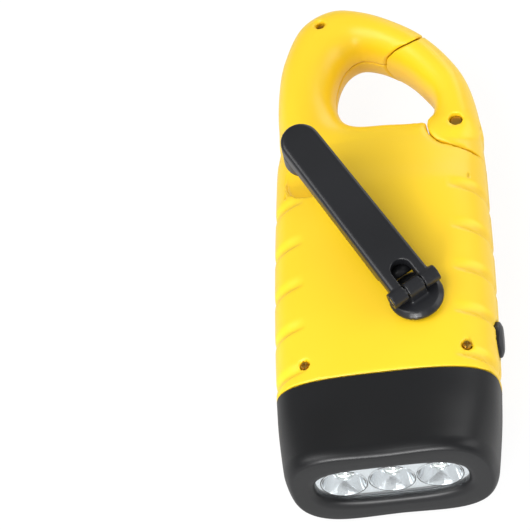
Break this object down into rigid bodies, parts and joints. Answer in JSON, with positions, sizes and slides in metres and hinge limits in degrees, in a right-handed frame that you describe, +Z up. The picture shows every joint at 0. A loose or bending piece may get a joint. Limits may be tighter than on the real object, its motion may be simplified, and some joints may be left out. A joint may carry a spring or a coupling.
{
  "type": "hand crank flashlight",
  "caption": "Pocket flashlight with a flared head, a sprung carabiner loop, a solar panel and a fold-out crank that turns a geared generator.",
  "frame": {"origin": "under the middle of the bounding box, on the plane the solar bezel rests on", "axes": "+Z up through the crank side, +Y from the lens to the loop, +X towards the power button"},
  "size_m": [0.0596, 0.1488, 0.0486],
  "materials": {
    "yellow_shell": "moulded, satin",
    "black_trim": "moulded, fine grain",
    "reflector_chrome": "bright plated",
    "clear_window": "clear",
    "solar_glass": "clear over dark",
    "solar_silicon": "dark cells with fine lines",
    "led_epoxy": "clear, faint yellow",
    "steel": "zinc plated",
    "gear_nylon": "natural",
    "coil_copper": "enamelled wire",
    "circuit_board": "green laminate",
    "battery_sleeve": "shrink sleeve",
    "capacitor_sleeve": "shrink sleeve"
  },
  "bodies": {
    "housing": {"crank_side_shell": "yellow_shell", "solar_side_shell": "yellow_shell", "head_bezel": "black_trim", "lens_window": "clear_window", "reflector_block": "reflector_chrome", "led_1": "led_epoxy", "led_2": "led_epoxy", "led_3": "led_epoxy", "led_board": "circuit_board", "solar_bezel": "black_trim", "solar_window": "solar_glass", "solar_cell": "solar_silicon", "gate_pin": "steel", "gate_spring": "steel", "housing_screw_1": "steel", "housing_screw_2": "steel", "housing_screw_3": "steel", "gear_axle_1": "steel", "gear_axle_2": "steel", "generator_coil": "coil_copper", "generator_can": "steel", "gear_plate": "steel", "plate_screw_1": "steel", "plate_screw_2": "steel", "plate_screw_3": "steel", "switch_body": "black_trim", "button_spring": "steel", "battery_pack": "battery_sleeve", "control_board": "circuit_board", "storage_capacitor": "capacitor_sleeve"},
    "crank_hub_assembly": {"crank_hub": "black_trim", "drive_gear": "gear_nylon", "hub_screw": "steel"},
    "crank_arm_assembly": {"crank_arm": "black_trim", "crank_hinge_pin": "steel", "knob_rivet": "steel"},
    "knob": {"crank_knob": "black_trim"},
    "first_gear": {"step_gear_1": "gear_nylon"},
    "second_gear": {"step_gear_2": "gear_nylon"},
    "rotor": {"generator_rotor": "gear_nylon"},
    "gate": {"carabiner_gate": "yellow_shell"},
    "button": {"power_button": "black_trim"}
  },
  "joints": [
    {"name": "crank_spin", "type": "hinge", "parent": "housing", "child": "crank_hub_assembly", "pos_m": [0.00953, -0.028, 0.0312], "axis": [0, 0, 1], "continuous": true},
    {"name": "crank_fold", "type": "hinge", "parent": "crank_hub_assembly", "child": "crank_arm_assembly", "pos_m": [0.00953, -0.028, 0.03654], "axis": [0.8434, 0.5373, 0], "range_deg": [-11, 165]},
    {"name": "knob_spin", "type": "hinge", "parent": "crank_arm_assembly", "child": "knob", "pos_m": [-0.01737, 0.01422, 0.04627], "axis": [0.1025, -0.1609, 0.9816], "continuous": true},
    {"name": "first_gear_spin", "type": "hinge", "parent": "housing", "child": "first_gear", "pos_m": [-0.00433, -0.02, 0.0222], "axis": [0, 0, 1], "continuous": true},
    {"name": "second_gear_spin", "type": "hinge", "parent": "housing", "child": "second_gear", "pos_m": [0.00243, -0.00729, 0.0202], "axis": [0, 0, 1], "continuous": true},
    {"name": "rotor_spin", "type": "hinge", "parent": "housing", "child": "rotor", "pos_m": [-0.00154, 0.00656, 0.0172], "axis": [0, 0, 1], "continuous": true},
    {"name": "gate_hinge", "type": "hinge", "parent": "housing", "child": "gate", "pos_m": [0.02112, 0.02996, 0.0172], "axis": [0, 0, 1], "range_deg": [0, 25], "stiffness_Nm_per_rad": 0.03, "springref_deg": -8.59},
    {"name": "button_slide", "type": "slide", "parent": "housing", "child": "button", "axis": [-1, 0, 0], "range_m": [0, 0.001], "stiffness_N_per_m": 400, "springref_m": -0.0005}
  ],
  "couplings": [
    {"joint": "first_gear_spin", "follows": "crank_spin", "ratio": -3},
    {"joint": "second_gear_spin", "follows": "crank_spin", "ratio": 9},
    {"joint": "rotor_spin", "follows": "crank_spin", "ratio": -27}
  ]
}
